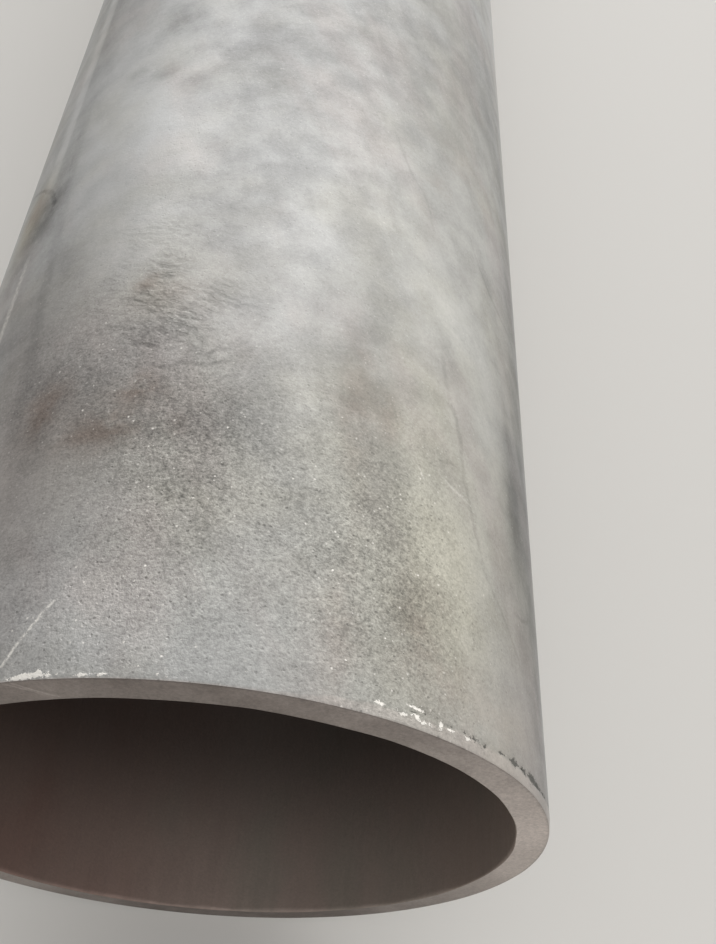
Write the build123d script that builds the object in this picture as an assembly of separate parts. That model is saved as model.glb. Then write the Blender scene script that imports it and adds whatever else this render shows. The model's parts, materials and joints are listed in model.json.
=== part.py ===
from build123d import *
import os

# A plain-ended length of seamless steel pipe lying on its side, in millimetres with +Z up.
# Its axis runs along Y, and the end at -Y faces the viewer.
# The origin is under the middle of the pipe, on the level it lies on.

# Section
OUTSIDE_DIAMETER = 168.3
WALL = 8.0

# Length between the two saw cuts
LENGTH = 6135.0

# Outer edge of each end, ground after sawing to a long shallow slope
DRESSED_LENGTH = 2.0
DRESSED_DEPTH = 0.3

# Inner edge of each end, scraped to take the burr off
SCRAPED_LENGTH = 0.4
SCRAPED_DEPTH = 0.3

OUTER_RADIUS = OUTSIDE_DIAMETER / 2
BORE_RADIUS = OUTER_RADIUS - WALL


def half_wall():
    """The wall cut lengthwise from mid-length to the +Y end: X is the radius, Y runs along the pipe."""
    end = LENGTH / 2
    with BuildLine() as outline:
        Polyline(
            (BORE_RADIUS, 0),
            (BORE_RADIUS, end - SCRAPED_LENGTH),
            (BORE_RADIUS + SCRAPED_DEPTH, end),
            (OUTER_RADIUS - DRESSED_DEPTH, end),
            (OUTER_RADIUS, end - DRESSED_LENGTH),
            (OUTER_RADIUS, 0),
            close=True,
        )
    return outline.line


def pipe():
    """The drawn tube: one wall section, the same at both ends, turned about the Y axis."""
    with BuildPart() as tube:
        with BuildSketch():
            with BuildLine():
                add(half_wall())
            make_face()
            mirror(about=Plane.XZ)
        revolve(axis=Axis.Y)
    return Pos(0, 0, OUTER_RADIUS) * tube.part


os.makedirs("parts", exist_ok=True)
export_step(pipe(), "parts/pipe.step")
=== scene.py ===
import json
import math
from collections import namedtuple

import bpy
import numpy as np
from bpy.props import FloatProperty, FloatVectorProperty, PointerProperty
from bpy.types import Operator, Panel, PropertyGroup
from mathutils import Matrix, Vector


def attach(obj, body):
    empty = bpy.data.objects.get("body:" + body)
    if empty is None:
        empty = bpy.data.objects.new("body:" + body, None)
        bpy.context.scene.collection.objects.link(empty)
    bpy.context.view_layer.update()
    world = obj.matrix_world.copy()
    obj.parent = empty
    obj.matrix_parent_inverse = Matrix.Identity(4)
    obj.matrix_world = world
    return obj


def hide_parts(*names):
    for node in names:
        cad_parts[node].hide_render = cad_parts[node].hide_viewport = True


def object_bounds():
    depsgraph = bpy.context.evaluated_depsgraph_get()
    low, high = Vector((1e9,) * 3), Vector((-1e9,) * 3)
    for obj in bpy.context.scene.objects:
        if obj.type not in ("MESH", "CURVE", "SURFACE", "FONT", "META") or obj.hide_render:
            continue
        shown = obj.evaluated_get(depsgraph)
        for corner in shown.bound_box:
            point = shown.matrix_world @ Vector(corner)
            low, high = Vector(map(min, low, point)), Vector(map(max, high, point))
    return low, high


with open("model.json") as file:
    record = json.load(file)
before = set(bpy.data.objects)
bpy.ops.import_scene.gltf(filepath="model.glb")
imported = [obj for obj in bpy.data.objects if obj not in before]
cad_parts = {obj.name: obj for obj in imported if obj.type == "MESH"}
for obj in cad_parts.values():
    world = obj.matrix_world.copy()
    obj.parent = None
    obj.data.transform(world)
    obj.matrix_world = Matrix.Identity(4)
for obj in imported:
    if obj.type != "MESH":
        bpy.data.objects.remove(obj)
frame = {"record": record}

bl_info = {
    "name": "Seamless steel pipe",
    "version": (1, 0, 0),
    "blender": (4, 5, 0),
    "location": "View3D > Sidebar > Steel pipe",
    "description": "A plain-ended length of blasted and pickled seamless pipe, and its stage",
    "category": "Add Mesh",
}

NODE = "pipe"
MM = 0.001
MOUNTS = {mount["name"]: mount for mount in frame["record"]["mounts"]}
CAD_LOW, CAD_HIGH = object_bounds()

# Radii in mm
OUTER_RADIUS = MOUNTS["outside"]["dims"]["r_mm"]
BORE_RADIUS = MOUNTS["bore"]["dims"]["r_mm"]

# Finishes, in the order of the mesh's material slots
OUTSIDE, SAWN, BORE = range(3)

# Segments of a ring. Each count goes a whole number of times into the finer ones that it meets
RIM_SEGMENTS = 1680
NEAR_SEGMENTS = 560
BODY_SEGMENTS = 280

# The finest rings of an end, in mm from it. The far end has every third of them
RIM_STEPS = (0.15, 0.45, 0.8, 1.2, 1.6, 2.0, 2.4, 2.8, 3.2, 3.6, 4.0, 4.5, 5.4)

# How many rings follow them on the outside, and the first and the last step between those, in mm
CLOSE_RINGS = 54
CLOSE_STEPS = (1.5, 7.2)

# How many rings the plain length has. The bore has every third of them
BODY_RINGS = 40

# How far they stay from the close rings and from the far end, in metres
BODY_GAPS = (0.08, 0.12)

# The bore's rings near the near end, and the outside's and the bore's near the far end, in mm from it
BORE_STEPS = (210, 150, 110, 80, 50, 28, 14, 6)
FAR_STEPS = (40, 14)
FAR_BORE_STEPS = (12, 60)

# How far the two ends reach on the map that the finishes are baked on, in mm
NEAR_MAPPED = 245
FAR_MAPPED = 45

# How each end shares the height of that map, as (walk, height). The walk goes over the wall's section, in
# mm. It is 0 at the near end's bore edge and at the far end's outer edge, and below 0 before them
NEAR_HEIGHTS = ((-215, 0.0), (0, 0.11), (9, 0.16), (14, 0.2), (250, 0.62))
FAR_HEIGHTS = ((-41, 0.962), (0, 0.976), (9, 0.99), (22, 0.998))

# The walk over the near face, in mm. The far outer edge comes a pipe's length after it
FACE_WALK = 9

# The heights of the outside and of the bore between the ends, where a turn starts and where it stops
OUTSIDE_HEIGHTS = (0.855, 0.63)
BORE_HEIGHTS = (0.865, 0.95)

# The share of the map's width that is left free at each side
MAP_MARGIN = 0.002

# Edges that turn by more than this look sharp
SHARP_ANGLE = math.radians(28)

# Seeds of the roll marks on the outside and in the bore, and of how each end was worked
OUTSIDE_SEED = 5
BORE_SEED = 6
NEAR_SEED = 11
FAR_SEED = 31

# The roll marks are this many waves round the pipe. In a metre each winds on by up to this many of its
# own lengths
SWELL_WAVES = 9
SWELL_TWIST = 2.2

# A place on the outside, in mm: arc from the top line, distance from the near end and half sizes. Its
# strength is what it has in its middle
Mark = namedtuple("Mark", "arc back half_arc half_back strength")

# A thin line on the outside, through places given as (arc, back) in mm
Line = namedtuple("Line", "places half_width strength")


def linear(hex_colour):
    """An sRGB hex colour as the four linear values that Blender's sockets hold."""
    parts = [int(hex_colour[i : i + 2], 16) / 255 for i in (1, 3, 5)]
    return [c / 12.92 if c <= 0.04045 else ((c + 0.055) / 1.055) ** 2.4 for c in parts] + [1.0]


def length_prop(name, description, metres):
    """A length in metres for the panel."""
    return FloatProperty(
        name=name, description=description, default=metres, min=0, unit="LENGTH", precision=5
    )


def colour_prop(name, description, hex_colour):
    """A colour for the panel."""
    return FloatVectorProperty(
        name=name, description=description, default=linear(hex_colour), size=4, min=0, max=1, subtype="COLOR"
    )


def strength_prop(name, description, strength):
    """A light's strength for the panel."""
    return FloatProperty(name=name, description=description, default=strength, min=0)


class PipeSizes(PropertyGroup):
    outer_radius: length_prop("Outer radius", "Half the outside diameter", OUTER_RADIUS * MM)
    bore_radius: length_prop("Bore radius", "Half the inside diameter", BORE_RADIUS * MM)
    length: length_prop("Length", "Between the two saw cuts", CAD_HIGH.y - CAD_LOW.y)
    band_length: length_prop("Ground edge", "Length of the slope ground on the outer edge", 2.4 * MM)
    band_depth: length_prop("Ground depth", "How much the slope takes off the radius at the end", 0.3 * MM)
    scraped: length_prop("Scraped edge", "How much is scraped off the bore's edge", 0.5 * MM)
    unevenness: length_prop("Roll marks", "How deep the rolls have left the outside uneven", 0.06 * MM)


class PipeColours(PropertyGroup):
    steel: colour_prop("Pickled steel", "Clean blasted and pickled steel", "#a9a9a8")
    olive: colour_prop("Olive steel", "Steel with a thin film of the pickling salts", "#a5a296")
    rosy: colour_prop("Rosy steel", "Steel with a trace of fresh rust", "#aaa19d")
    stain: colour_prop("Stain", "Brown left by the rinse water", "#8b796d")
    # Dark steel also paints the shade in the gouges
    dark: colour_prop("Dark steel", "Hollows where the dirt stays", "#4c4d48")
    # Fresh metal is also the colour of the painted glints on the outside's crests and on the sawn end
    bright: colour_prop("Fresh metal", "Metal laid bare by a scrape", "#efebe4")
    # The saw cut's two colours also paint light on the end's right and shade at its top left and bottom
    sawn: colour_prop("Saw cut", "The sawn end", "#6f6660")
    rubbed: colour_prop("Rubbed saw cut", "The sawn end where it is rubbed clean", "#cfc5be")
    bore: colour_prop("Bore", "Scale left inside", "#6b625b")
    rust: colour_prop("Bore rust", "Thin rust where water stood in the bore", "#604c45")
    film: colour_prop("Bore film", "A film of the pickling salts in the bore", "#5d5c53")


class StageLook(PropertyGroup):
    floor: colour_prop("Floor", "The floor and the backdrop", "#d6d3ce")
    back: strength_prop("Back light", "Strength of the light beyond the far end", 2.0)
    side: strength_prop("Side light", "Strength of the light on the right", 0.9)
    front: strength_prop("Front light", "Strength of the light behind the camera", 0.65)
    room: strength_prop("Room", "Strength of the light from all round", 0.46)


# Burrs that stand on the near outer edge, left of the top line, with their metal bare
BURRS = (
    Mark(-32.8, 0.6, 2.1, 0.6, 1.05),
    Mark(-30.2, 0.7, 2.0, 0.65, 1.05),
    Mark(-27.4, 0.85, 1.5, 0.55, 1.05),
    Mark(-28.5, 1.55, 0.55, 0.45, 0.8),
    Mark(-24.9, 0.9, 0.5, 0.35, 0.75),
    Mark(-24.0, 1.2, 0.4, 0.35, 0.7),
    Mark(-20.3, 0.6, 1.8, 0.45, 1.1),
    Mark(-16.8, 0.7, 1.7, 0.3, 1.1),
    Mark(-10.5, 1.3, 0.5, 0.35, 1.0),
    Mark(-7.2, 1.1, 0.35, 0.3, 0.9),
    Mark(-6.0, 0.8, 0.4, 0.3, 0.9),
)

# Places right of the top line where the disc has scraped the metal bare
SCRAPES = (
    Mark(32.4, 3.0, 1.0, 0.5, 0.95),
    Mark(34.0, 2.5, 1.7, 0.4, 0.9),
    Mark(37.6, 2.1, 1.3, 0.5, 0.95),
    Mark(41.0, 4.05, 2.6, 0.45, 1.15),
    Mark(40.4, 2.6, 1.6, 0.4, 0.95),
    Mark(42.2, 1.85, 2.8, 0.5, 0.95),
    Mark(46.8, 2.6, 0.7, 0.9, 1.0),
    Mark(49.6, 2.4, 1.4, 0.45, 0.95),
    Mark(54.4, 2.2, 1.0, 0.5, 0.9),
)

# Gouges behind the ground edge, where the disc slipped. They are painted dark, with dirt and painted shade
# in them
GOUGES = (
    Mark(39.8, 3.0, 1.5, 0.3, 0.8),
    Mark(43.2, 3.7, 0.6, 0.45, 0.95),
    Mark(49.2, 3.0, 1.4, 0.3, 0.85),
    Mark(53.4, 3.3, 0.8, 0.35, 0.8),
    Mark(56.0, 2.8, 1.3, 0.45, 0.95),
    Mark(59.6, 2.4, 0.9, 0.6, 1.0),
    Mark(65.7, 3.2, 1.4, 0.4, 0.8),
    Mark(74.0, 3.2, 7.0, 0.22, 0.55),
    Mark(71.4, 3.2, 1.8, 1.0, 1.1),
    Mark(76.2, 3.1, 1.6, 0.8, 1.0),
    Mark(81.4, 3.2, 2.4, 1.3, 1.15),
    Mark(85.0, 3.0, 1.6, 0.7, 1.1),
    Mark(90.0, 3.0, 6.0, 0.3, 1.1),
    Mark(99.5, 3.8, 3.0, 0.35, 0.7),
)

# Brown stains of the rinse water
STAINS = (
    Mark(-43.5, 66.0, 5.0, 7.0, 1.15),
    Mark(-28.5, 56.5, 8.5, 4.2, 0.95),
    Mark(-21.5, 67.8, 5.0, 4.6, 0.85),
    Mark(-25.5, 102.8, 3.0, 2.6, 0.7),
    Mark(-20.0, 98.0, 9.0, 7.0, 0.35),
    Mark(-12.0, 57.7, 3.0, 3.0, 0.4),
    Mark(-30.0, 66.0, 18.0, 22.0, 0.25),
    Mark(-78.0, 158.0, 8.0, 12.0, 0.7),
    # This narrow one right of the top line is brown stain and painted shadow together
    Mark(25.0, 72.0, 5.0, 26.0, 0.5),
    Mark(33.5, 72.0, 3.2, 8.0, 0.55),
    Mark(24.0, 14.0, 5.0, 22.0, 0.4),
    Mark(42.0, 22.0, 9.0, 15.0, 0.4),
    Mark(60.0, 9.0, 20.0, 12.0, 0.4),
    Mark(63.0, 190.0, 16.0, 14.0, 0.4),
    Mark(48.0, 168.0, 6.0, 6.0, 0.4),
)

# Grey smudges and shaded hollows
SMUDGES = (
    Mark(-36.0, 222.0, 5.0, 5.5, 0.8),
    Mark(-30.0, 218.0, 5.5, 5.0, 0.55),
    Mark(-44.5, 197.0, 5.0, 5.0, 0.9),
    Mark(-35.5, 193.0, 6.0, 4.0, 0.8),
    Mark(-26.5, 184.0, 5.0, 4.5, 0.8),
    Mark(-66.5, 152.0, 3.5, 8.0, 1.1),
    Mark(-74.0, 142.0, 7.0, 16.0, 0.9),
    Mark(-52.0, 118.0, 6.0, 9.0, 0.5),
    Mark(74.0, 148.0, 8.0, 5.0, 0.6),
    Mark(50.5, 101.0, 7.0, 6.0, 0.6),
    Mark(79.0, 75.0, 5.5, 14.0, 0.7),
    Mark(79.0, 96.0, 4.0, 4.0, 0.8),
    Mark(47.0, 66.0, 6.0, 5.0, 0.5),
    Mark(54.0, 140.5, 8.0, 5.0, 0.4),
)

# Where the blasting has left the skin scaly, with short slanting ridges
SCALY = (
    Mark(-19.0, 89.0, 14.0, 12.0, 1.0),
    Mark(-25.0, 103.0, 10.0, 8.0, 0.5),
    Mark(-22.0, 122.0, 16.0, 10.0, 0.2),
    Mark(62.0, 118.0, 14.0, 14.0, 0.2),
)

# Where the grit has bitten coarsest
COARSE = (
    Mark(-10.0, 50.0, 17.0, 22.0, 0.8),
    Mark(-24.0, 12.0, 26.0, 24.0, 0.9),
    Mark(-34.0, 75.0, 22.0, 26.0, 0.6),
    Mark(32.0, 28.0, 26.0, 36.0, 0.9),
)

# Broad patches where the skin is lighter, and where it is darker. They are mostly painted light and painted
# shade, with some of the skin's own tone. The darkest are painted shade along the right flank and beside the
# top line, and a dark painted reflection on the left flank
PALE_AND_PAINTED_LIGHT = (
    Mark(-37.0, 162.0, 26.0, 42.0, 1.0),
    Mark(-22.0, 12.0, 16.0, 11.0, 0.7),
    Mark(-28.0, 120.0, 14.0, 11.0, 0.6),
    Mark(-39.0, 101.0, 8.0, 10.0, 0.25),
    Mark(-50.0, 205.0, 12.0, 40.0, 0.5),
    Mark(52.0, 120.0, 16.0, 24.0, 0.3),
    Mark(53.0, 36.0, 11.0, 26.0, 0.6),
    Mark(64.0, 8.0, 9.0, 10.0, 0.6),
)
DULL_AND_PAINTED_SHADE = (
    Mark(-34.0, 61.0, 32.0, 19.0, 0.8),
    Mark(-62.0, 96.0, 22.0, 26.0, 1.0),
    Mark(-46.0, 70.0, 10.0, 22.0, 0.5),
    Mark(-67.0, 150.0, 7.0, 16.0, 0.9),
    Mark(-4.0, 54.0, 12.0, 22.0, 0.45),
    Mark(-22.0, 86.0, 9.0, 9.0, 0.2),
    Mark(-47.0, 36.0, 7.0, 12.0, 0.5),
    Mark(-37.5, 16.0, 5.5, 26.0, 0.45),
    Mark(-14.0, 128.0, 10.0, 16.0, 0.5),
    Mark(-10.0, 190.0, 16.0, 45.0, 0.7),
    Mark(27.0, 80.0, 9.0, 40.0, 0.5),
    Mark(31.0, 44.0, 8.0, 18.0, 0.25),
    Mark(39.5, 22.0, 11.0, 15.0, 0.45),
    Mark(38.0, 262.0, 26.0, 85.0, 0.7),
    Mark(74.0, 262.0, 18.0, 75.0, 0.7),
    Mark(80.0, 66.0, 6.0, 26.0, 0.6),
    Mark(92.0, 100.0, 11.0, 130.0, 1.2),
)

# Where the pickling has left a yellowish film
OLIVE = (
    Mark(44.0, 36.0, 30.0, 56.0, 0.85),
    Mark(58.0, 170.0, 42.0, 120.0, 0.35),
    Mark(-10.0, 45.0, 16.0, 34.0, 0.5),
    Mark(-44.0, 74.0, 24.0, 40.0, 0.3),
    Mark(-26.0, 96.0, 14.0, 12.0, 0.25),
    Mark(-78.0, 155.0, 9.0, 18.0, 1.0),
)

# Where it has begun to rust again, too little to see but for its tint
ROSY = (
    Mark(-54.0, 44.0, 22.0, 50.0, 0.5),
    Mark(-28.0, 72.0, 34.0, 46.0, 0.2),
    Mark(82.0, 10.0, 16.0, 26.0, 0.45),
)

# Dark lines rolled into the skin, and thin bright scratches
ROLLED_LINES = (
    Line(
        ((79.0, 27.0), (70.7, 35.8), (62.2, 45.0), (58.8, 54.0))
        + ((55.0, 70.0), (53.5, 81.0), (50.0, 91.0), (48.7, 105.0)),
        1.2,
        0.45,
    ),
    Line(((87.0, 45.5), (82.0, 42.0), (75.7, 41.5)), 0.9, 0.45),
    Line(((88.0, 141.5), (76.0, 142.0), (66.0, 150.0), (60.0, 165.0)), 1.4, 0.35),
    Line(
        ((-24.5, 73.6), (-20.4, 75.2), (-17.0, 74.0), (-13.0, 75.4))
        + ((-8.6, 74.8), (-4.0, 76.6), (-1.0, 76.2)),
        1.0,
        0.6,
    ),
    Line(((-14.0, 79.2), (-9.0, 78.4), (-5.0, 80.0), (-2.0, 79.4)), 0.9, 0.5),
    Line(((44.0, 64.0), (49.0, 67.6), (54.0, 68.4)), 0.8, 0.3),
    Line(
        ((-50.0, 50.0), (-52.7, 82.0), (-56.0, 108.0), (-59.0, 136.0), (-62.3, 169.0), (-64.0, 205.0)),
        3.0,
        0.4,
    ),
    Line(
        ((-88.0, 176.5), (-80.9, 171.5), (-74.3, 165.6), (-68.3, 157.8), (-65.9, 152.5), (-66.7, 148.5)),
        1.5,
        0.8,
    ),
    Line(((33.0, 178.0), (38.0, 165.0), (43.5, 157.0), (46.0, 145.0)), 1.0, 0.25),
    Line(((-33.5, 89.2), (-28.0, 87.0)), 0.9, 0.6),
    Line(((-31.5, 97.5), (-26.0, 95.6)), 0.8, 0.5),
    Line(((-24.0, 81.6), (-19.0, 79.8)), 0.7, 0.5),
    Line(((-19.6, 117.4), (-17.0, 117.8)), 1.0, 0.55),
)
SCRATCHES = (
    Line(((-28.5, 16.7), (-30.6, 13.7), (-33.4, 9.0), (-34.9, 6.2), (-36.5, 2.9)), 0.6, 1.0),
    Line(((-71.2, 78.0), (-71.0, 104.0), (-70.6, 119.0), (-70.8, 134.0)), 1.7, 0.4),
    Line(((40.8, 62.2), (42.5, 59.0)), 0.5, 0.35),
    Line(((46.6, 63.9), (50.5, 61.5), (57.2, 60.1)), 0.6, 0.25),
)

# Scratches on the sawn end, through places given as (x, z) in mm from the pipe's axis
END_SCRATCHES = (
    Line(((-33.0, 77.2), (-28.8, 74.9), (-24.6, 73.2)), 0.6, 0.55),
    Line(((-34.6, 76.4), (-29.4, 74.6), (-27.6, 73.6)), 0.5, 0.4),
)

# How light the sawn end is, from 0 to 1, at angles in degrees from the top line. It is partly rubbed clean,
# and partly painted light on its right and painted shade at its top left and bottom
RUBBED_AND_PAINTED_LIGHT = (
    (-180, 0.0),
    (-140, 0.3),
    (-20, 0.27),
    (-8, 0.12),
    (40, 0.46),
    (70, 1.0),
    (90, 0.82),
    (120, 0.38),
    (150, 0.05),
)

# A painted highlight along the left flank, from here on to the far end, with painted shade beside it
PAINTED_HIGHLIGHT = Mark(-73.0, 165.0, 3.2, 6.0, 0.8)

# The painted highlight's lightness from its left side to its right, where 0.5 changes nothing. The dip right
# of its peak is the painted shade
PAINTED_HIGHLIGHT_PROFILE = ((0, 0.5), (0.2, 0.45), (0.36, 0.92), (0.46, 0.75), (0.55, 0.15), (0.75, 0.3), (1, 0.5))

# How a line's strength swells and fades from one end to the other
LINE_TAPER = ((0, 0), (0.15, 0.8), (0.6, 1), (1, 0))


def turned(count):
    """Angles from the top line, clockwise as the near end is seen, starting at the bottom."""
    return np.linspace(-math.pi, math.pi, count, endpoint=False)


def facets(angle, count, seed):
    """Uneven from 0 to 1 round the pipe, in straight stretches such as a hand tool leaves."""
    height = np.random.default_rng(seed).random(count)
    place = (angle / (2 * math.pi) + 0.5) * count
    first = np.floor(place).astype(int)
    share = place - first
    return height[first % count] * (1 - share) + height[(first + 1) % count] * share


def swell(angle, along, seed):
    """Uneven from 0 to 1 over a round wall, in long low ridges that wind round it. along is in metres."""
    rng = np.random.default_rng(seed)
    total = 0
    for wave in range(1, SWELL_WAVES + 1):
        turn = rng.uniform(-SWELL_TWIST, SWELL_TWIST) * 2 * math.pi
        total = total + np.cos(wave * angle + turn * along + rng.uniform(0, 2 * math.pi)) / wave**0.5
    return (np.tanh(total * 0.5) + 1) / 2


def amount_of(marks, arc, back):
    """How much of some marks lies at each place, from 0 to 1.2, soft at their rims."""
    total = 0
    for mark in marks:
        away = ((arc - mark.arc) / mark.half_arc) ** 2 + ((back - mark.back) / mark.half_back) ** 2
        total = total + mark.strength * np.exp(-away)
    return np.clip(total, 0, 1.2)


Ring = namedtuple("Ring", "angle radius along finish ground", defaults=(0.0,))


class EndShape:
    """One end of the wall as it was sawn, ground and scraped: what each angle of it measures."""

    def __init__(self, sizes, count, seed, near_end):
        self.sizes = sizes
        self.seed = seed
        self.near_end = near_end
        self.angle = turned(count)
        self.arc = self.angle * sizes.outer_radius / MM
        if near_end:
            # The disc has hardly touched the edge here, left of the top line
            spared = np.exp(-(((np.degrees(self.angle) + 16) / 34) ** 6))
        else:
            spared = 0.6 * facets(self.angle, 5, seed + 7)
        torn = facets(self.angle, 90, seed) * 0.5 + facets(self.angle, 330, seed + 1) * 0.5
        self.reach = sizes.band_length * (0.75 + 0.6 * torn) * (1 - 0.9 * spared)
        self.depth = sizes.band_depth * (0.6 + 0.4 * facets(self.angle, 46, seed + 2)) * (1 - 0.85 * spared)
        self.scraped = sizes.scraped * (0.25 + 0.75 * facets(self.angle, 52, seed + 3))
        self.sawn = 0.02 * MM * facets(self.angle, 240, seed + 4)

    def outside(self, back):
        """The outside's radius at a distance from the end, with its ground slope, burrs and gouges."""
        sizes = self.sizes
        ground = np.clip(1 - back / np.maximum(self.reach, 0.1 * MM), 0, 1)
        rolled = sizes.unevenness * swell(self.angle, back, OUTSIDE_SEED)
        radius = sizes.outer_radius - rolled - self.depth * ground
        if self.near_end:
            # Torn most, burrs stand 0.16 mm, gouges cut 0.28 mm and scrapes 0.12 mm at an amount of 1
            torn = facets(self.angle, 420, self.seed + int(back / MM * 10))
            burrs = amount_of(BURRS, self.arc, back / MM)
            radius = radius + burrs * (0.02 + 0.14 * torn) * MM
            radius = radius - amount_of(GOUGES, self.arc, back / MM) * (0.08 + 0.2 * torn) * MM
            radius = radius - amount_of(SCRAPES, self.arc, back / MM) * 0.12 * torn * MM
        return np.minimum(radius, sizes.outer_radius)

    def rings(self):
        """The rings from the bore over the sawn face to the outside, with along as metres from this end."""
        sizes = self.sizes
        bore = sizes.bore_radius + 0.05 * MM * facets(self.angle, 24, self.seed + 5)
        inner = bore + self.scraped
        outer = self.outside(0.0)
        # The scraped edge is rounded, and the outer one has a narrow bevel
        rings = [
            Ring(self.angle, bore, self.scraped * 3.0, BORE),
            Ring(self.angle, bore + self.scraped * 0.1, self.scraped * 1.2, BORE),
            Ring(self.angle, bore + self.scraped * 0.6, self.scraped * 0.35, BORE),
            Ring(self.angle, inner, self.sawn, SAWN),
            Ring(self.angle, (inner + outer) / 2, self.sawn, SAWN),
            Ring(self.angle, outer - 0.7 * MM, self.sawn, SAWN),
            Ring(self.angle, outer - 0.12 * MM, 0.0, SAWN, 1.0),
            Ring(self.angle, outer - 0.03 * MM, 0.04 * MM, OUTSIDE, 1.0),
        ]
        for back in RIM_STEPS if self.near_end else RIM_STEPS[::3]:
            ground = np.clip((self.reach - back * MM) / (0.3 * MM) + 0.5, 0, 1)
            rings.append(Ring(self.angle, self.outside(back * MM), back * MM, OUTSIDE, ground))
        return rings


def body_ring(sizes, count, along, finish):
    """One ring of the outside or of the bore, along metres from the near end."""
    angle = turned(count)
    if finish == OUTSIDE:
        radius = sizes.outer_radius - sizes.unevenness * swell(angle, along, OUTSIDE_SEED)
    else:
        # The piercer leaves the bore less even than the rolls leave the outside
        radius = sizes.bore_radius + 1.5 * sizes.unevenness * swell(angle, along, BORE_SEED)
    return Ring(angle, radius, along, finish)


def wall_rings(sizes):
    """All rings of the pipe's wall, as a closed walk: near end, outside, far end, bore."""
    length = sizes.length
    rings = EndShape(sizes, RIM_SEGMENTS, NEAR_SEED, True).rings()
    close = np.cumsum(np.linspace(*CLOSE_STEPS, CLOSE_RINGS)) + RIM_STEPS[-1]
    rings += [body_ring(sizes, NEAR_SEGMENTS, step * MM, OUTSIDE) for step in close]
    middle = np.linspace(close[-1] * MM + BODY_GAPS[0], length - BODY_GAPS[1], BODY_RINGS)
    rings += [body_ring(sizes, BODY_SEGMENTS, along, OUTSIDE) for along in middle]
    rings += [body_ring(sizes, NEAR_SEGMENTS, length - step * MM, OUTSIDE) for step in FAR_STEPS]
    # Walked from the outside in, a strip has the finish of the ring that it ends at
    far = EndShape(sizes, NEAR_SEGMENTS, FAR_SEED, False).rings()[::-1]
    finishes = [ring.finish for ring in far[1:]] + [BORE]
    for ring, finish in zip(far, finishes):
        rings.append(ring._replace(along=length - ring.along, finish=finish))
    rings += [body_ring(sizes, BODY_SEGMENTS, length - step * MM, BORE) for step in FAR_BORE_STEPS]
    rings += [body_ring(sizes, BODY_SEGMENTS, along, BORE) for along in middle[::-3]]
    rings += [body_ring(sizes, NEAR_SEGMENTS, step * MM, BORE) for step in BORE_STEPS]
    return rings


def strip(first, second, start_a, start_b):
    """Faces between two rings, as vertex numbers and turns from 0 to 1.
    One ring may have several times the other's vertices."""
    a, b = len(first.angle), len(second.angle)
    less = min(a, b)
    for i in range(less):
        side_a = range(i * (a // less), (i + 1) * (a // less) + 1)
        side_b = range((i + 1) * (b // less), i * (b // less) - 1, -1)
        corners = [start_a + k % a for k in side_a] + [start_b + k % b for k in side_b]
        yield corners, [k / a for k in side_a] + [k / b for k in side_b]


def bake_places(rings, length):
    """A function that says where a strip's corners lie on the map for baking, from 0 to 1.
    Both ends lie across the map, the near one far sharper, and the long plain rest lies along it."""
    middles = np.array([(np.mean(ring.radius), np.mean(ring.along)) for ring in rings]) / MM
    steps = np.linalg.norm(np.diff(middles, axis=0, append=middles[:1]), axis=1)
    walks = np.cumsum(steps) - steps
    backs = middles[:, 1]

    def places(k, after, ring_of_corner, turns):
        if max(backs[k], backs[after]) < NEAR_MAPPED:
            walk = walks[ring_of_corner]
            walk = np.where(walk > steps.sum() / 2, walk - steps.sum(), walk)
            across, up = np.array(turns), np.interp(walk, *zip(*NEAR_HEIGHTS))
        elif min(backs[k], backs[after]) > length / MM - FAR_MAPPED:
            walk = walks[ring_of_corner] - (length / MM + FACE_WALK)
            across, up = np.array(turns), np.interp(walk, *zip(*FAR_HEIGHTS))
        else:
            heights = OUTSIDE_HEIGHTS if rings[k].finish == OUTSIDE else BORE_HEIGHTS
            across, up = backs[ring_of_corner] * MM / length, np.interp(turns, (0, 1), heights)
        return np.stack([MAP_MARGIN + (1 - 2 * MAP_MARGIN) * across, up], 1)

    return places


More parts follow.
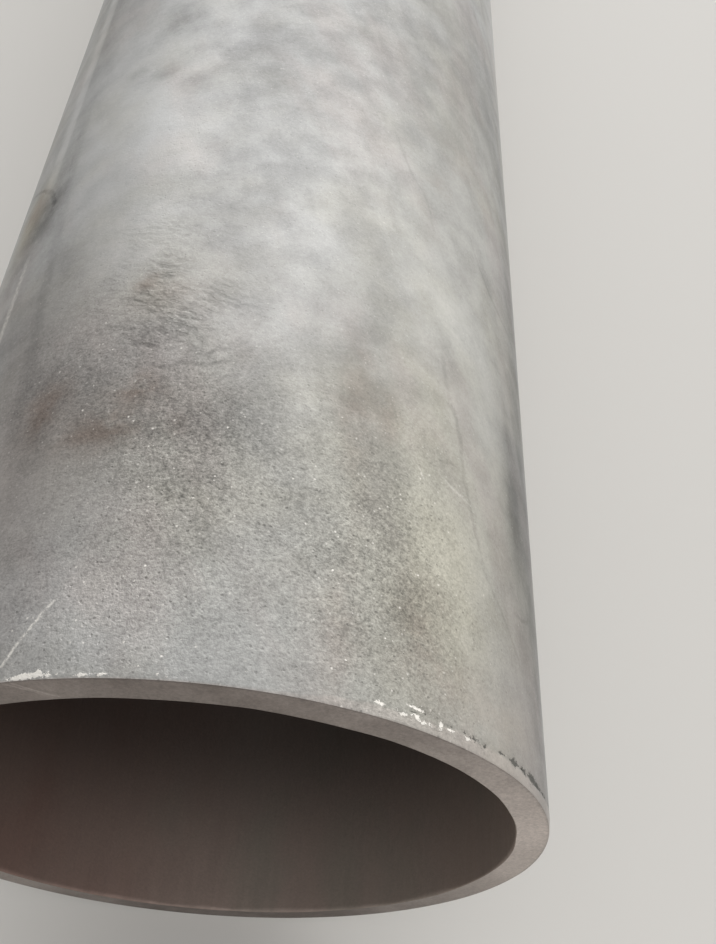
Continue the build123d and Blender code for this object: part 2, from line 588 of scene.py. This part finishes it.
def pipe_mesh(sizes):
    """The pipe's wall as one closed mesh, with its unrolled coordinates in mm and where its marks lie."""
    rings = wall_rings(sizes)
    starts = np.cumsum([0] + [len(ring.angle) for ring in rings])
    places, arcs, backs, grounds = [], [], [], []
    for ring in rings:
        parts = (ring.angle, ring.radius, ring.along, ring.ground)
        angle, radius, along, ground = np.broadcast_arrays(*parts)
        height = sizes.outer_radius + radius * np.cos(angle)
        places.append(np.stack([radius * np.sin(angle), along - sizes.length / 2, height], 1))
        arcs.append(angle * sizes.outer_radius / MM)
        backs.append(along / MM)
        grounds.append(ground)
    faces, finishes, corner_turns, baked = [], [], [], []
    places_of = bake_places(rings, sizes.length)
    for k, ring in enumerate(rings):
        after = (k + 1) % len(rings)
        strip_turns, ring_of_corner = [], []
        for corners, turns in strip(ring, rings[after], int(starts[k]), int(starts[after])):
            faces.append(corners)
            finishes.append(ring.finish)
            strip_turns += turns
            ring_of_corner += [k if starts[k] <= corner < starts[k + 1] else after for corner in corners]
        corner_turns += strip_turns
        baked.append(places_of(k, after, ring_of_corner, strip_turns))
    mesh = bpy.data.meshes.new(NODE + "_wall")
    mesh.from_pydata(np.concatenate(places).tolist(), [], faces)
    mesh.polygons.foreach_set("material_index", finishes)
    mesh.polygons.foreach_set("use_smooth", [True] * len(faces))
    arc, back = np.concatenate(arcs), np.concatenate(backs)
    corner_arc = (np.array(corner_turns) - 0.5) * 2 * math.pi * sizes.outer_radius / MM
    corner_back = back[np.concatenate(faces)]
    unrolled = mesh.uv_layers.new(name="unrolled")
    unrolled.uv.foreach_set("vector", np.stack([corner_arc, corner_back], 1).astype(np.float32).ravel())
    # The map that the finishes are baked on
    bake_map = mesh.uv_layers.new(name="OFBake")
    bake_map.uv.foreach_set("vector", np.concatenate(baked).astype(np.float32).ravel())
    worn_and_painted_light = {
        "bare": BURRS + SCRAPES,
        "gouges": GOUGES,
        "stains": STAINS,
        "smudges": SMUDGES,
        "scaly": SCALY,
        "coarse": COARSE,
        "olive": OLIVE,
        "rosy": ROSY,
    }
    amounts = {name: amount_of(marks, arc, back) for name, marks in worn_and_painted_light.items()}
    # pale holds painted light and painted shade, as well as the skin's own tone
    amounts["pale"] = 0.5 + 0.5 * (amount_of(PALE_AND_PAINTED_LIGHT, arc, back) - amount_of(DULL_AND_PAINTED_SHADE, arc, back))
    # rubbed holds painted light and shade on the sawn end, as well as its rubbing
    amounts["rubbed"] = np.interp(np.degrees(arc * MM / sizes.outer_radius), *zip(*RUBBED_AND_PAINTED_LIGHT), period=360)
    amounts["ground"] = np.concatenate(grounds)
    for name, amount in amounts.items():
        mesh.attributes.new(name, "FLOAT", "POINT").data.foreach_set("value", amount.astype(np.float32))
    mesh.set_sharp_from_angle(angle=SHARP_ANGLE)
    mesh.validate()
    return mesh


def add_node(tree, kind, sockets=None, **settings):
    """Adds a node with its settings, and fills its sockets from values, sockets or other nodes, which give
    their first output in use."""
    node = tree.nodes.new(kind)
    for name, value in settings.items():
        setattr(node, name, value)
    for socket, value in (sockets or {}).items():
        if isinstance(value, bpy.types.Node):
            value = next(output for output in value.outputs if output.enabled)
        if isinstance(value, bpy.types.NodeSocket):
            tree.links.new(value, node.inputs[socket])
        else:
            node.inputs[socket].default_value = value
    return node


def start_material(name, sizes):
    """An empty material, and the place on it in mm from the pipe's axis."""
    material = bpy.data.materials.new(name)
    material.use_nodes = True
    tree = material.node_tree
    tree.nodes.clear()
    spot = add_node(tree, "ShaderNodeTexCoord").outputs["Object"]
    to_axis = (0, 0, -sizes.outer_radius / MM)
    scaled = {0: spot, 1: (1 / MM, 1 / MM, 1 / MM), 2: to_axis}
    return material, tree, add_node(tree, "ShaderNodeVectorMath", scaled, operation="MULTIPLY_ADD")


def finish_material(tree, colour, roughness, height, depth_mm, metallic):
    """The metal shader, with its colour, roughness and relief."""
    bump = add_node(tree, "ShaderNodeBump", {"Strength": 1.0, "Distance": depth_mm * MM, "Height": height})
    sockets = {"Base Color": colour, "Metallic": metallic, "Roughness": roughness, "Normal": bump}
    metal = add_node(tree, "ShaderNodeBsdfPrincipled", sockets)
    add_node(tree, "ShaderNodeOutputMaterial", {"Surface": metal})


def patches(tree, place, size_mm, low, high, detail, roughness):
    """Patches of about size_mm, from 0 where the noise is below low to 1 where it is above high."""
    sockets = {"Vector": place, "Scale": 1 / size_mm, "Detail": detail, "Roughness": roughness}
    noise = add_node(tree, "ShaderNodeTexNoise", sockets)
    sockets = {"Value": noise, "From Min": low, "From Max": high}
    return add_node(tree, "ShaderNodeMapRange", sockets, interpolation_type="SMOOTHSTEP")


def dots(tree, place, spacing_mm, reach, rarity):
    """Torn round dots about spacing_mm apart. reach is their radius over the spacing, and rarity how many
    are left out, from 0 to 1."""
    torn = add_node(tree, "ShaderNodeTexNoise", {"Vector": place, "Scale": 3 / spacing_mm}).outputs["Color"]
    torn = {0: torn, 1: [0.4 * spacing_mm] * 3, 2: place}
    torn = add_node(tree, "ShaderNodeVectorMath", torn, operation="MULTIPLY_ADD")
    cells = add_node(tree, "ShaderNodeTexVoronoi", {"Vector": torn, "Scale": 1 / spacing_mm})
    dot = {"Value": cells.outputs["Distance"], "From Min": reach, "From Max": 0.3 * reach}
    dot = add_node(tree, "ShaderNodeMapRange", dot, interpolation_type="SMOOTHSTEP")
    kept = {"Value": cells.outputs["Color"], "From Min": rarity, "From Max": 1.0}
    kept = add_node(tree, "ShaderNodeMapRange", kept)
    return add_node(tree, "ShaderNodeMath", {0: dot, 1: kept}, operation="MULTIPLY")


def wound(tree, place, lead, stretch):
    """The place wound about the axis, so that a pattern laid on it streams along the pipe's helix.
    lead is how far the helix goes round for each mm along, and stretch how long the pattern gets."""
    along = add_node(tree, "ShaderNodeSeparateXYZ", {0: place}).outputs["Y"]
    turn = add_node(tree, "ShaderNodeMath", {0: along, 1: lead / OUTER_RADIUS}, operation="MULTIPLY")
    wind = {"Vector": place, "Angle": turn}
    wind = add_node(tree, "ShaderNodeVectorRotate", wind, rotation_type="Y_AXIS")
    return add_node(tree, "ShaderNodeVectorMath", {0: wind, 1: (1, 1 / stretch, 1)}, operation="MULTIPLY")


def summed(tree, total, shares):
    """A total to which each pattern adds its share."""
    for pattern, share in shares:
        total = {0: pattern, 1: share, 2: total}
        total = add_node(tree, "ShaderNodeMath", total, operation="MULTIPLY_ADD")
    return total


def bend(node, points):
    """Gives a curve node its points, from left to right."""
    curve = node.mapping.curves[0]
    curve.points[0].location, curve.points[1].location = points[0], points[-1]
    for point in points[1:-1]:
        curve.points.new(*point)
    node.mapping.update()


def thin_line(tree, arc, back, wander, line):
    """How much of a thin line lies at each place: a curve through its places, tapered at both ends."""
    arcs, backs = zip(*line.places)
    lengthwise = np.ptp(backs) > np.ptp(arcs)
    runs, sides = (backs, arcs) if lengthwise else (arcs, backs)
    run, side = (back, arc) if lengthwise else (arc, back)
    first, last, least, most = min(runs), max(runs), min(sides), max(sides)
    # A straight line needs a range too
    most = max(most, least + 1)
    share = add_node(tree, "ShaderNodeMapRange", {"Value": run, "From Min": first, "From Max": last})
    course = add_node(tree, "ShaderNodeFloatCurve", {"Value": share})
    shape = [((r - first) / (last - first), (s - least) / (most - least)) for r, s in zip(runs, sides)]
    bend(course, sorted(shape))
    taper = add_node(tree, "ShaderNodeFloatCurve", {"Value": share})
    bend(taper, LINE_TAPER)
    middle = add_node(tree, "ShaderNodeMapRange", {"Value": course, "To Min": least, "To Max": most})
    away = add_node(tree, "ShaderNodeMath", {0: side, 1: middle}, operation="SUBTRACT")
    away = add_node(tree, "ShaderNodeMath", {0: away, 1: wander}, operation="ADD")
    away = add_node(tree, "ShaderNodeMath", {0: away}, operation="ABSOLUTE")
    near = {"Value": away, "From Min": line.half_width, "From Max": 0.2 * line.half_width}
    near["To Max"] = line.strength
    near = add_node(tree, "ShaderNodeMapRange", near, interpolation_type="SMOOTHSTEP")
    return add_node(tree, "ShaderNodeMath", {0: near, 1: taper}, operation="MULTIPLY")


def all_lines(tree, arc, back, wander, lines):
    """The strongest of some thin lines at each place."""
    most = 0.0
    for line in lines:
        drawn = thin_line(tree, arc, back, wander, line)
        most = add_node(tree, "ShaderNodeMath", {0: drawn, 1: most}, operation="MAXIMUM")
    return most


def pickled_outside(colours, sizes):
    """Carbon steel, hot rolled, blasted with grit and pickled in acid. It looks dull light grey and grainy,
    with soft clouds, brown water stains and faint lines that wind along the pipe. Its end is ground by
    hand."""
    material, tree, place = start_material("pickled_steel_outside", sizes)
    unrolled = add_node(tree, "ShaderNodeUVMap", uv_map="unrolled")
    split = add_node(tree, "ShaderNodeSeparateXYZ", {0: unrolled})
    arc, back = split.outputs["X"], split.outputs["Y"]
    names = ("bare", "gouges", "stains", "smudges", "scaly", "coarse", "pale", "olive", "rosy", "ground")
    worn_and_painted_light = {}
    for name in names:
        worn_and_painted_light[name] = add_node(tree, "ShaderNodeAttribute", attribute_name=name).outputs["Fac"]

    # The real grain is about 0.2 mm. It is drawn at 0.5 mm and up, about two pixels near the end
    fine = {"Vector": place, "Scale": 1 / 0.5, "Detail": 1.0, "Roughness": 0.9}
    fine = add_node(tree, "ShaderNodeTexNoise", fine)
    middling = {"Vector": place, "Scale": 1 / 1.25, "Detail": 1.0, "Roughness": 0.85}
    middling = add_node(tree, "ShaderNodeTexNoise", middling)
    grain = add_node(tree, "ShaderNodeMath", {0: middling, 1: 1.0, 2: fine}, operation="MULTIPLY_ADD")
    grain = add_node(tree, "ShaderNodeMath", {0: grain, 1: 1.0}, operation="SUBTRACT")
    coarse = add_node(tree, "ShaderNodeMapRange", {"Value": worn_and_painted_light["coarse"], "To Min": 0.17, "To Max": 0.85})
    grain = add_node(tree, "ShaderNodeMath", {0: grain, 1: coarse}, operation="MULTIPLY")

    # Round pits that hold dirt, and rarer crests with a painted glint
    pits = dots(tree, place, spacing_mm=1.2, reach=0.34, rarity=0.3)
    pits = add_node(tree, "ShaderNodeMath", {0: pits, 1: coarse}, operation="MULTIPLY")
    crest_glints = dots(tree, place, spacing_mm=1.15, reach=0.28, rarity=0.65)
    shining = {"Value": worn_and_painted_light["coarse"], "To Min": 0.25, "To Max": 1.5}
    shining = add_node(tree, "ShaderNodeMapRange", shining)
    crest_glints = add_node(tree, "ShaderNodeMath", {0: crest_glints, 1: shining}, operation="MULTIPLY", use_clamp=True)

    # Clouds a hand's breadth wide, blotches of a fingertip, and ridges that stream along the helix
    clouds = patches(tree, wound(tree, place, 0.1, 2.5), 34, 0.3, 0.7, detail=2.5, roughness=0.5)
    blotches = patches(tree, place, 9, 0.3, 0.7, detail=2.0, roughness=0.5)
    streams = patches(tree, wound(tree, place, 0.35, 12), 5, 0.3, 0.7, detail=3.0, roughness=0.6)
    slanting = {"Vector": unrolled, "Rotation": (0, 0, math.radians(-24)), "Scale": (1.7, 1.0, 1.0)}
    slanting = add_node(tree, "ShaderNodeMapping", slanting, vector_type="TEXTURE")
    ridges = patches(tree, slanting, 1.6, 0.38, 0.64, detail=1.0, roughness=0.5)
    scaly = add_node(tree, "ShaderNodeMath", {0: blotches, 1: worn_and_painted_light["scaly"]}, operation="MULTIPLY")
    scaly = add_node(tree, "ShaderNodeMapRange", {"Value": scaly, "From Max": 0.55, "To Min": 0.04})
    ridges = add_node(tree, "ShaderNodeMath", {0: ridges, 1: scaly}, operation="MULTIPLY")
    torn = patches(tree, place, 7, 0.35, 0.6, detail=5.0, roughness=0.65)
    smudges_torn = add_node(tree, "ShaderNodeMath", {0: torn, 1: 0.45, 2: 0.55}, operation="MULTIPLY_ADD")
    smudges = add_node(tree, "ShaderNodeMath", {0: smudges_torn, 1: worn_and_painted_light["smudges"]}, operation="MULTIPLY")
    wander = add_node(tree, "ShaderNodeTexNoise", {"Vector": place, "Scale": 1 / 4.0, "Detail": 3.0})
    wander = add_node(tree, "ShaderNodeMath", {0: wander, 1: 2.4, 2: -1.2}, operation="MULTIPLY_ADD")
    rolled = all_lines(tree, arc, back, wander, ROLLED_LINES)
    rolled = add_node(tree, "ShaderNodeMath", {0: rolled, 1: smudges_torn}, operation="MULTIPLY")
    slight = add_node(tree, "ShaderNodeMath", {0: wander, 1: 0.3}, operation="MULTIPLY")
    scratched = all_lines(tree, arc, back, slight, SCRATCHES)

    # What each of them takes off or adds to the steel's lightness
    shares = (
        # The pale share paints light and shade, as well as the skin's own tone
        (worn_and_painted_light["pale"], 0.62),
        (clouds, -0.09),
        (blotches, -0.13),
        (streams, -0.05),
        (ridges, -0.13),
        (smudges, -0.32),
        (rolled, -0.30),
        (grain, 1.0),
    )
    light = summed(tree, 0.835, shares)

    # A painted highlight along the left flank, with painted shade on its right side
    off = add_node(tree, "ShaderNodeMath", {0: arc, 1: PAINTED_HIGHLIGHT.arc}, operation="SUBTRACT")
    across = {"Value": off, "From Min": -PAINTED_HIGHLIGHT.half_arc * 3, "From Max": PAINTED_HIGHLIGHT.half_arc * 5}
    across = add_node(tree, "ShaderNodeMapRange", across)
    profile = add_node(tree, "ShaderNodeFloatCurve", {"Value": across})
    bend(profile, PAINTED_HIGHLIGHT_PROFILE)
    first, last = PAINTED_HIGHLIGHT.back - PAINTED_HIGHLIGHT.half_back, PAINTED_HIGHLIGHT.back + PAINTED_HIGHLIGHT.half_back
    begun = {"Value": back, "From Min": first, "From Max": last}
    begun["To Max"] = PAINTED_HIGHLIGHT.strength * 0.5
    begun = add_node(tree, "ShaderNodeMapRange", begun, interpolation_type="SMOOTHSTEP")
    painted_highlight = add_node(tree, "ShaderNodeMath", {0: profile, 1: 0.5}, operation="SUBTRACT")
    painted_highlight = add_node(tree, "ShaderNodeMath", {0: painted_highlight, 1: begun}, operation="MULTIPLY")
    light = add_node(tree, "ShaderNodeMath", {0: painted_highlight, 1: light}, operation="ADD")

    # The film of salts, the trace of rust and the water's stains
    olive = patches(tree, place, 38, 0.38, 0.7, detail=3.0, roughness=0.6)
    olive = {0: olive, 1: 0.3, 2: worn_and_painted_light["olive"]}
    olive = add_node(tree, "ShaderNodeMath", olive, operation="MULTIPLY_ADD", use_clamp=True)
    colour = {0: olive, 6: colours.steel, 7: colours.olive}
    colour = add_node(tree, "ShaderNodeMix", colour, data_type="RGBA")
    rosy = patches(tree, wound(tree, place, 0.35, 2), 26, 0.48, 0.7, detail=3.0, roughness=0.6)
    rosy = {0: rosy, 1: 0.35, 2: worn_and_painted_light["rosy"]}
    rosy = add_node(tree, "ShaderNodeMath", rosy, operation="MULTIPLY_ADD", use_clamp=True)
    colour = add_node(tree, "ShaderNodeMix", {0: rosy, 6: colour, 7: colours.rosy}, data_type="RGBA")
    stained = add_node(tree, "ShaderNodeMath", {0: torn, 1: 0.5, 2: 0.5}, operation="MULTIPLY_ADD")
    stained = add_node(tree, "ShaderNodeMath", {0: stained, 1: worn_and_painted_light["stains"]}, operation="MULTIPLY")
    stained = {"Value": stained, "From Min": 0.1, "From Max": 0.95, "To Max": 0.62}
    stained = add_node(tree, "ShaderNodeMapRange", stained)
    colour = add_node(tree, "ShaderNodeMix", {0: stained, 6: colour, 7: colours.stain}, data_type="RGBA")

    # The ground edge is rubbed a little cleaner
    ground = add_node(tree, "ShaderNodeMath", {0: worn_and_painted_light["ground"], 1: 0.34}, operation="MULTIPLY")
    colour = add_node(tree, "ShaderNodeMix", {0: ground, 6: colour, 7: colours.rubbed}, data_type="RGBA")
    colour = {0: 1.0, 6: colour, 7: light}
    colour = add_node(tree, "ShaderNodeMix", colour, data_type="RGBA", blend_type="MULTIPLY")
    held = add_node(tree, "ShaderNodeMath", {0: pits, 1: 0.75}, operation="MULTIPLY")
    colour = add_node(tree, "ShaderNodeMix", {0: held, 6: colour, 7: colours.dark}, data_type="RGBA")
    colour = add_node(tree, "ShaderNodeMix", {0: crest_glints, 6: colour, 7: colours.bright}, data_type="RGBA")

    # The gouges and the bare metal have torn rims
    flakes = {"Vector": place, "Scale": 1 / 1.1, "Detail": 4.0, "Roughness": 0.75}
    flakes = {"Value": add_node(tree, "ShaderNodeTexNoise", flakes), "From Min": 0.32, "From Max": 0.68}
    flakes = add_node(tree, "ShaderNodeMapRange", flakes)
    # The gouges are painted dark: dirt and painted shade
    gouged = {0: worn_and_painted_light["gouges"], 1: 0.8, 2: flakes}
    gouged = add_node(tree, "ShaderNodeMath", gouged, operation="MULTIPLY_ADD")
    gouged = {"Value": gouged, "From Min": 0.94, "From Max": 1.15, "To Max": 0.8}
    gouged = add_node(tree, "ShaderNodeMapRange", gouged)
    colour = add_node(tree, "ShaderNodeMix", {0: gouged, 6: colour, 7: colours.dark}, data_type="RGBA")
    bared = {0: worn_and_painted_light["bare"], 1: 0.8, 2: flakes}
    bared = add_node(tree, "ShaderNodeMath", bared, operation="MULTIPLY_ADD")
    bared = add_node(tree, "ShaderNodeMapRange", {"Value": bared, "From Min": 0.96, "From Max": 1.1})
    lumps = {"Value": flakes, "From Min": 0.25, "From Max": 0.65, "To Min": 0.1}
    lumps = add_node(tree, "ShaderNodeMapRange", lumps)
    scratched = add_node(tree, "ShaderNodeMath", {0: scratched, 1: lumps}, operation="MULTIPLY")
    bright = add_node(tree, "ShaderNodeMath", {0: bared, 1: scratched}, operation="MAXIMUM")
    colour = add_node(tree, "ShaderNodeMix", {0: bright, 6: colour, 7: colours.bright}, data_type="RGBA")

    roughness = {"Value": light, "From Min": 0.6, "From Max": 1.2, "To Min": 0.74, "To Max": 0.55}
    roughness = add_node(tree, "ShaderNodeMapRange", roughness)
    height = summed(tree, grain, ((pits, -1.2), (bared, 0.6), (ridges, -0.7), (gouged, -1.5)))
    finish_material(tree, colour, roughness, height, depth_mm=0.12, metallic=0.7)
    return material


def sawn_end(colours, sizes):
    """The end, cut with a band saw and pickled since. It looks brownish grey and dull, with a fine tooth and
    a few straight scratches. It is lighter where it is rubbed and where light is painted on its right, and
    darker where shade is painted at its top left and bottom."""
    material, tree, place = start_material("sawn_end", sizes)
    clouds = patches(tree, place, 16, 0.35, 0.65, detail=4.0, roughness=0.6)
    grain = {"Vector": place, "Scale": 1 / 0.8, "Detail": 2.0, "Roughness": 0.8}
    grain = add_node(tree, "ShaderNodeTexNoise", grain)
    # The saw's teeth leave lines about 0.6 mm apart, which slant across the wall
    teeth = {"Vector": place, "Rotation": (0, 0.9, 0), "Scale": (16.0, 1.0, 1.0)}
    teeth = add_node(tree, "ShaderNodeMapping", teeth, vector_type="TEXTURE")
    teeth = {"Vector": teeth, "Scale": 1 / 0.6, "Detail": 3.0, "Roughness": 0.6}
    teeth = add_node(tree, "ShaderNodeTexNoise", teeth)
    # The rubbed amount also holds painted light on the end's right and painted shade at its top left and
    # bottom
    rubbed = add_node(tree, "ShaderNodeAttribute", attribute_name="rubbed").outputs["Fac"]
    clouds = add_node(tree, "ShaderNodeMath", {0: clouds, 1: -0.16, 2: 0.08}, operation="MULTIPLY_ADD")
    rubbed = add_node(tree, "ShaderNodeMath", {0: clouds, 1: rubbed}, operation="ADD", use_clamp=True)
    colour = {0: rubbed, 6: colours.sawn, 7: colours.rubbed}
    colour = add_node(tree, "ShaderNodeMix", colour, data_type="RGBA")
    across = add_node(tree, "ShaderNodeSeparateXYZ", {0: place})
    straight = add_node(tree, "ShaderNodeMath", {0: grain, 1: 0.3}, operation="MULTIPLY")
    scratched = all_lines(tree, across.outputs["X"], across.outputs["Z"], straight, END_SCRATCHES)
    scratched = add_node(tree, "ShaderNodeMath", {0: scratched, 1: 0.6}, operation="MULTIPLY")
    colour = {0: scratched, 6: colour, 7: colours.rubbed}
    colour = add_node(tree, "ShaderNodeMix", colour, data_type="RGBA")
    # Painted shade: the end is darker along its outer edge, where the edge rolls away
    edge = add_node(tree, "ShaderNodeAttribute", attribute_name="ground").outputs["Fac"]
    light = summed(tree, 0.55, ((grain, 0.85), (teeth, 0.06), (edge, -0.22)))
    colour = {0: 1.0, 6: colour, 7: light}
    colour = add_node(tree, "ShaderNodeMix", colour, data_type="RGBA", blend_type="MULTIPLY")
    # Grains of metal that catch the light
    glints = dots(tree, place, spacing_mm=2.6, reach=0.13, rarity=0.5)
    colour = add_node(tree, "ShaderNodeMix", {0: glints, 6: colour, 7: colours.bright}, data_type="RGBA")
    roughness = add_node(tree, "ShaderNodeMapRange", {"Value": grain, "To Min": 0.55, "To Max": 0.72})
    height = add_node(tree, "ShaderNodeMath", {0: teeth, 1: 0.12, 2: grain}, operation="MULTIPLY_ADD")
    finish_material(tree, colour, roughness, height, depth_mm=0.05, metallic=0.6)
    return material


def bore_scale(colours, sizes):
    """The inside, pickled but never blasted. It looks dark and soft, with streaks along the pipe where the
    acid ran."""
    material, tree, place = start_material("bore_scale", sizes)
    streaks = patches(tree, wound(tree, place, 0.02, 5), 7, 0.3, 0.7, detail=4.0, roughness=0.6)
    rust = patches(tree, wound(tree, place, 0.05, 2), 34, 0.32, 0.72, detail=4.0, roughness=0.5)
    film = patches(tree, wound(tree, place, 0.1, 2), 26, 0.32, 0.72, detail=4.0, roughness=0.5)
    grain = {"Vector": place, "Scale": 1 / 0.8, "Detail": 2.0, "Roughness": 0.7}
    grain = add_node(tree, "ShaderNodeTexNoise", grain)
    # The rust is thicker on the left, which makes the bore darker and redder there
    across = add_node(tree, "ShaderNodeSeparateXYZ", {0: place}).outputs["X"]
    left = {"Value": across, "From Min": 25.0, "From Max": -45.0, "To Min": 0.25, "To Max": 0.95}
    left = add_node(tree, "ShaderNodeMapRange", left, interpolation_type="SMOOTHSTEP")
    rust = add_node(tree, "ShaderNodeMath", {0: rust, 1: 0.4, 2: 0.6}, operation="MULTIPLY_ADD")
    rust = add_node(tree, "ShaderNodeMath", {0: rust, 1: left}, operation="MULTIPLY")
    colour = add_node(tree, "ShaderNodeMix", {0: rust, 6: colours.bore, 7: colours.rust}, data_type="RGBA")
    film = add_node(tree, "ShaderNodeMath", {0: film, 1: 0.6}, operation="MULTIPLY")
    film = add_node(tree, "ShaderNodeMath", {0: film, 1: rust}, operation="SUBTRACT", use_clamp=True)
    colour = add_node(tree, "ShaderNodeMix", {0: film, 6: colour, 7: colours.film}, data_type="RGBA")
    light = summed(tree, 0.93, ((grain, 0.35), (streaks, -0.14)))
    # Painted light and shade: the bore is lighter just inside the end and darker deeper in. The blast has
    # also reached a little way in from the end and left it cleaner there
    unrolled = add_node(tree, "ShaderNodeUVMap", uv_map="unrolled")
    back = add_node(tree, "ShaderNodeSeparateXYZ", {0: unrolled}).outputs["Y"]
    clean = {"Value": back, "From Min": 2.0, "From Max": 62.0, "To Min": 1.9, "To Max": 0.75}
    clean = add_node(tree, "ShaderNodeMapRange", clean, interpolation_type="SMOOTHSTEP")
    light = add_node(tree, "ShaderNodeMath", {0: light, 1: clean}, operation="MULTIPLY")
    colour = {0: 1.0, 6: colour, 7: light}
    colour = add_node(tree, "ShaderNodeMix", colour, data_type="RGBA", blend_type="MULTIPLY")
    roughness = add_node(tree, "ShaderNodeMapRange", {"Value": streaks, "To Min": 0.5, "To Max": 0.68})
    finish_material(tree, colour, roughness, grain, depth_mm=0.04, metallic=0.4)
    return material


class PIPE_OT_wall(Operator):
    """Builds the pipe's wall with its two ends and its finishes, in place of the plain solid"""

    bl_idname = "pipe.wall"
    bl_label = "Pipe wall"

    def execute(self, context):
        scene = context.scene
        mesh = pipe_mesh(scene.pipe_sizes)
        for make in (pickled_outside, sawn_end, bore_scale):
            mesh.materials.append(make(scene.pipe_colours, scene.pipe_sizes))
        pipe = bpy.data.objects.new("pipe_wall", mesh)
        scene.collection.objects.link(pipe)
        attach(pipe, "root")
        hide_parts(NODE)
        return {"FINISHED"}


# How wide each light looks, and the azimuth and the elevation that it comes from, in degrees
LIGHT_WIDTH = 50
BACK_LIGHT = (0, 22)
SIDE_LIGHT = (50, 22)
FRONT_LIGHT = (172, 58)

# How far the floor reaches from the pipe's middle, in metres
FLOOR_REACH = 60.0

# The camera fitted to the photo: lens in mm, shift as a share of the picture's longer side, place in
# metres from the foot of the near end, and turn in degrees
CAMERA_LENS = 35.317
CAMERA_SHIFT = (0.0212, 0.1377)
CAMERA_PLACE = (0.0096, -0.0699, 0.3112)
CAMERA_TURN = (31.507, -7.0, 2.881)


def soft_light(scene, name, strength, azimuth, elevation):
    """A broad soft light, even over the whole pipe. Its azimuth runs from the far end to the right."""
    data = bpy.data.lights.new(name, "SUN")
    data.energy = strength
    data.angle = math.radians(LIGHT_WIDTH)
    lamp = bpy.data.objects.new(name, data)
    around, up = math.radians(azimuth), math.radians(elevation)
    towards = Vector((math.sin(around) * math.cos(up), math.cos(around) * math.cos(up), math.sin(up)))
    lamp.rotation_euler = towards.to_track_quat("Z", "Y").to_euler()
    scene.collection.objects.link(lamp)


class PIPE_OT_stage(Operator):
    """Lays the pale floor, hangs the lights and sets up the camera"""

    bl_idname = "pipe.stage"
    bl_label = "Stage"

    def execute(self, context):
        scene = context.scene
        look = scene.pipe_stage
        near_end = -scene.pipe_sizes.length / 2

        square = ((-1, -1), (1, -1), (1, 1), (-1, 1))
        corners = [(x * FLOOR_REACH, y * FLOOR_REACH, 0) for x, y in square]
        mesh = bpy.data.meshes.new("floor")
        mesh.from_pydata(corners, [], [(0, 1, 2, 3)])
        material = bpy.data.materials.new("painted_floor")
        material.use_nodes = True
        shader = material.node_tree.nodes["Principled BSDF"]
        shader.inputs["Base Color"].default_value = look.floor
        shader.inputs["Roughness"].default_value = 0.8
        mesh.materials.append(material)
        floor = bpy.data.objects.new("floor", mesh)
        scene.collection.objects.link(floor)

        world = bpy.data.worlds.new("room")
        scene.world = world
        world.use_nodes = True
        tree = world.node_tree
        tree.nodes.clear()
        room = add_node(tree, "ShaderNodeBackground", {"Color": (1, 1, 1, 1), "Strength": look.room})
        add_node(tree, "ShaderNodeOutputWorld", {"Surface": room})

        soft_light(scene, "back_light", look.back, *BACK_LIGHT)
        soft_light(scene, "side_light", look.side, *SIDE_LIGHT)
        soft_light(scene, "front_light", look.front, *FRONT_LIGHT)

        camera = bpy.data.objects.new("camera", bpy.data.cameras.new("camera"))
        camera.data.lens = CAMERA_LENS
        camera.data.shift_x, camera.data.shift_y = CAMERA_SHIFT
        camera.data.clip_start = 0.01
        x, y, z = CAMERA_PLACE
        camera.location = (x, near_end + y, z)
        camera.rotation_euler = [math.radians(angle) for angle in CAMERA_TURN]
        scene.collection.objects.link(camera)
        scene.camera = camera
        scene.view_settings.view_transform = "Standard"
        return {"FINISHED"}


class PIPE_PT_panel(Panel):
    """Lists the pipe's sizes, colours and stage"""

    bl_label = "Steel pipe"
    bl_space_type = "VIEW_3D"
    bl_region_type = "UI"
    bl_category = "Steel pipe"

    def draw(self, context):
        scene = context.scene
        for group in (scene.pipe_sizes, scene.pipe_colours, scene.pipe_stage):
            for name in group.__annotations__:
                self.layout.prop(group, name)
        self.layout.operator(PIPE_OT_wall.bl_idname)
        self.layout.operator(PIPE_OT_stage.bl_idname)


CLASSES = (PipeSizes, PipeColours, StageLook, PIPE_OT_wall, PIPE_OT_stage, PIPE_PT_panel)


def register():
    for cls in CLASSES:
        bpy.utils.register_class(cls)
    bpy.types.Scene.pipe_sizes = PointerProperty(type=PipeSizes)
    bpy.types.Scene.pipe_colours = PointerProperty(type=PipeColours)
    bpy.types.Scene.pipe_stage = PointerProperty(type=StageLook)


def unregister():
    del bpy.types.Scene.pipe_sizes, bpy.types.Scene.pipe_colours, bpy.types.Scene.pipe_stage
    for cls in reversed(CLASSES):
        bpy.utils.unregister_class(cls)


def main():
    register()
    bpy.ops.pipe.wall()
    bpy.ops.pipe.stage()


if __name__ == "__main__":
    main()
